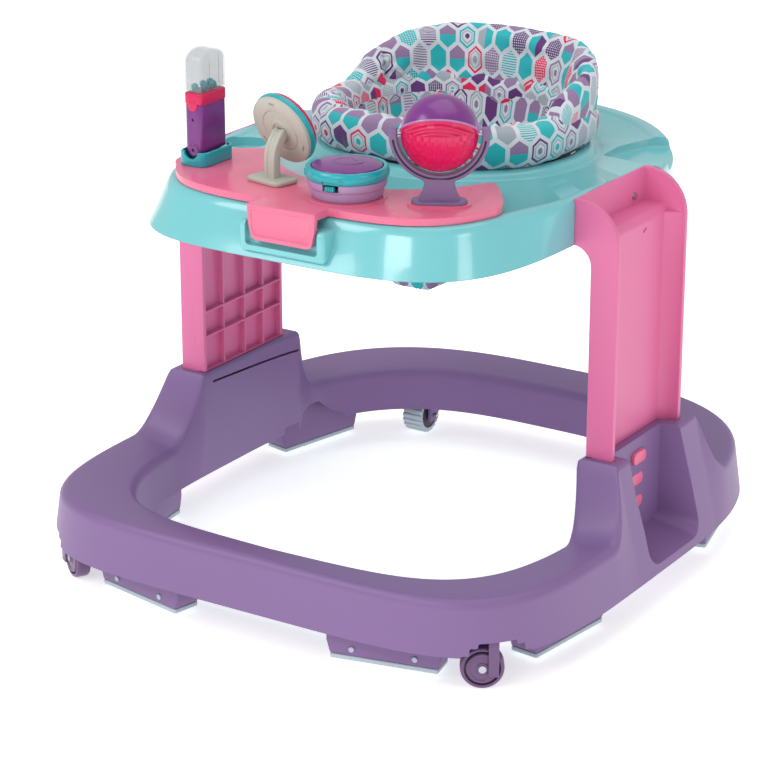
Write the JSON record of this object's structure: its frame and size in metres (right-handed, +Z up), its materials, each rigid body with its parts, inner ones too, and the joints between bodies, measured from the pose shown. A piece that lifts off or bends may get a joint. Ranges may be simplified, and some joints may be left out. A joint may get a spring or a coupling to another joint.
{
  "type": "baby walker",
  "caption": "Wheeled baby walker: ring base with two side towers, sliding legs, oval tray with a padded seat, and a swing-out toy panel.",
  "frame": {"origin": "centre of the base on the floor", "axes": "+X the right-hand side seen from the front, -Y the front (toy side), +Z up"},
  "size_m": [0.656, 0.722, 0.5914],
  "materials": {
    "purple": "satin",
    "pink": "satin",
    "aqua": "gloss",
    "rose": "satin",
    "teal": "gloss",
    "plum": "gloss",
    "magenta": "gloss",
    "lilac": "satin",
    "beige": "satin",
    "clear": "clear",
    "pale_rubber": "matte",
    "steel": "satin",
    "dark": "matte",
    "board": "matte",
    "fabric": "woven"
  },
  "bodies": {
    "base": {"base_frame": "purple", "caster_sockets": "steel", "rear_brackets": "purple", "rear_axles": "steel", "grip_strips": "pale_rubber", "pad_pegs": "pale_rubber", "pad_block_front_left": "purple", "pad_block_front_right": "purple", "pad_block_side_left": "purple", "pad_block_side_right": "purple", "pad_block_rear_left": "purple", "pad_block_rear_right": "purple"},
    "caster_left": {"caster_fork_left": "purple", "caster_axle_left": "steel"},
    "caster_wheel_left": {"caster_wheel_left": "purple"},
    "caster_right": {"caster_fork_right": "purple", "caster_axle_right": "steel"},
    "caster_wheel_right": {"caster_wheel_right": "purple"},
    "rear_wheel_left": {"rear_wheel_left": "pale_rubber"},
    "rear_wheel_right": {"rear_wheel_right": "pale_rubber"},
    "height_button_left_top": {"height_button_left_top": "rose"},
    "height_button_left_middle": {"height_button_left_middle": "rose"},
    "height_button_left_low": {"height_button_left_low": "rose"},
    "height_button_right_top": {"height_button_right_top": "rose"},
    "height_button_right_middle": {"height_button_right_middle": "rose"},
    "height_button_right_low": {"height_button_right_low": "rose"},
    "upper": {"leg_left": "pink", "leg_right": "pink", "height_latches": "dark", "leg_screws": "steel", "tray": "aqua", "seat_ring": "dark", "seat_rim_pad": "fabric", "seat_back_pad": "fabric", "seat_sling": "fabric", "pivot_post": "steel"},
    "toy_panel": {"toy_tray": "rose", "rattle_cup": "teal", "mirror_arm": "beige", "mirror_plate": "beige", "mirror_rim": "teal", "drum_bowl": "lilac", "drum_ring": "teal", "drum_board": "board", "drum_speaker": "dark", "drum_batteries": "steel", "ball_fork": "lilac"},
    "rattle": {"rattle_body": "plum", "rattle_collar": "magenta", "rattle_window": "clear", "rattle_beads": "teal"},
    "mirror_spinner": {"mirror_spinner": "magenta"},
    "drum_key": {"drum_key": "plum"},
    "drum_switch": {"drum_switch": "teal"},
    "ball": {"ball_upper": "plum", "ball_lower": "magenta", "ball_axle": "steel"}
  },
  "joints": [
    {"name": "caster_swivel_left", "type": "hinge", "parent": "base", "child": "caster_left", "pos_m": [-0.272, -0.298, 0.06], "axis": [0, 0, 1], "continuous": true},
    {"name": "caster_spin_left", "type": "hinge", "parent": "caster_left", "child": "caster_wheel_left", "pos_m": [-0.26229, -0.30416, 0.023], "axis": [-0.5358, -0.8443, 0], "continuous": true},
    {"name": "caster_swivel_right", "type": "hinge", "parent": "base", "child": "caster_right", "pos_m": [0.272, -0.298, 0.06], "axis": [0, 0, 1], "continuous": true},
    {"name": "caster_spin_right", "type": "hinge", "parent": "caster_right", "child": "caster_wheel_right", "pos_m": [0.26229, -0.30416, 0.023], "axis": [0.5358, -0.8443, 0], "continuous": true},
    {"name": "rear_spin_left", "type": "hinge", "parent": "base", "child": "rear_wheel_left", "pos_m": [-0.18, 0.294, 0.024], "axis": [1, 0, 0], "continuous": true},
    {"name": "rear_spin_right", "type": "hinge", "parent": "base", "child": "rear_wheel_right", "pos_m": [0.18, 0.294, 0.024], "axis": [1, 0, 0], "continuous": true},
    {"name": "press_left_top", "type": "slide", "parent": "base", "child": "height_button_left_top", "axis": [1, 0, 0], "range_m": [0, 0.003], "stiffness_N_per_m": 400, "springref_m": -0.002},
    {"name": "press_left_middle", "type": "slide", "parent": "base", "child": "height_button_left_middle", "axis": [1, 0, 0], "range_m": [0, 0.003], "stiffness_N_per_m": 400, "springref_m": -0.002},
    {"name": "press_left_low", "type": "slide", "parent": "base", "child": "height_button_left_low", "axis": [1, 0, 0], "range_m": [0, 0.003], "stiffness_N_per_m": 400, "springref_m": -0.002},
    {"name": "press_right_top", "type": "slide", "parent": "base", "child": "height_button_right_top", "axis": [-1, 0, 0], "range_m": [0, 0.003], "stiffness_N_per_m": 400, "springref_m": -0.002},
    {"name": "press_right_middle", "type": "slide", "parent": "base", "child": "height_button_right_middle", "axis": [-1, 0, 0], "range_m": [0, 0.003], "stiffness_N_per_m": 400, "springref_m": -0.002},
    {"name": "press_right_low", "type": "slide", "parent": "base", "child": "height_button_right_low", "axis": [-1, 0, 0], "range_m": [0, 0.003], "stiffness_N_per_m": 400, "springref_m": -0.002},
    {"name": "height_adjust", "type": "slide", "parent": "base", "child": "upper", "axis": [0, 0, 1], "range_m": [-0.054, 0]},
    {"name": "toy_tray_swing", "type": "hinge", "parent": "upper", "child": "toy_panel", "pos_m": [-0.164, -0.178, 0.457], "axis": [0, 0, 1], "range_deg": [-100, 0]},
    {"name": "rattle_rock", "type": "hinge", "parent": "toy_panel", "child": "rattle", "pos_m": [-0.164, -0.178, 0.4744], "axis": [1, 0, 0], "range_deg": [-15, 15], "stiffness_Nm_per_rad": 0.3},
    {"name": "mirror_spin", "type": "hinge", "parent": "toy_panel", "child": "mirror_spinner", "pos_m": [-0.057, -0.192, 0.5164], "axis": [0.1928, 0.9069, 0.3746], "continuous": true},
    {"name": "drum_press", "type": "slide", "parent": "toy_panel", "child": "drum_key", "axis": [0, 0, -1], "range_m": [0, 0.003], "stiffness_N_per_m": 400, "springref_m": -0.002},
    {"name": "drum_switch_slide", "type": "slide", "parent": "toy_panel", "child": "drum_switch", "axis": [0.9903, 0.1392, 0], "range_m": [-0.0035, 0.0035]},
    {"name": "ball_spin", "type": "hinge", "parent": "toy_panel", "child": "ball", "pos_m": [0.138, -0.19, 0.5414], "axis": [0.878, 0.4787, 0], "continuous": true}
  ]
}
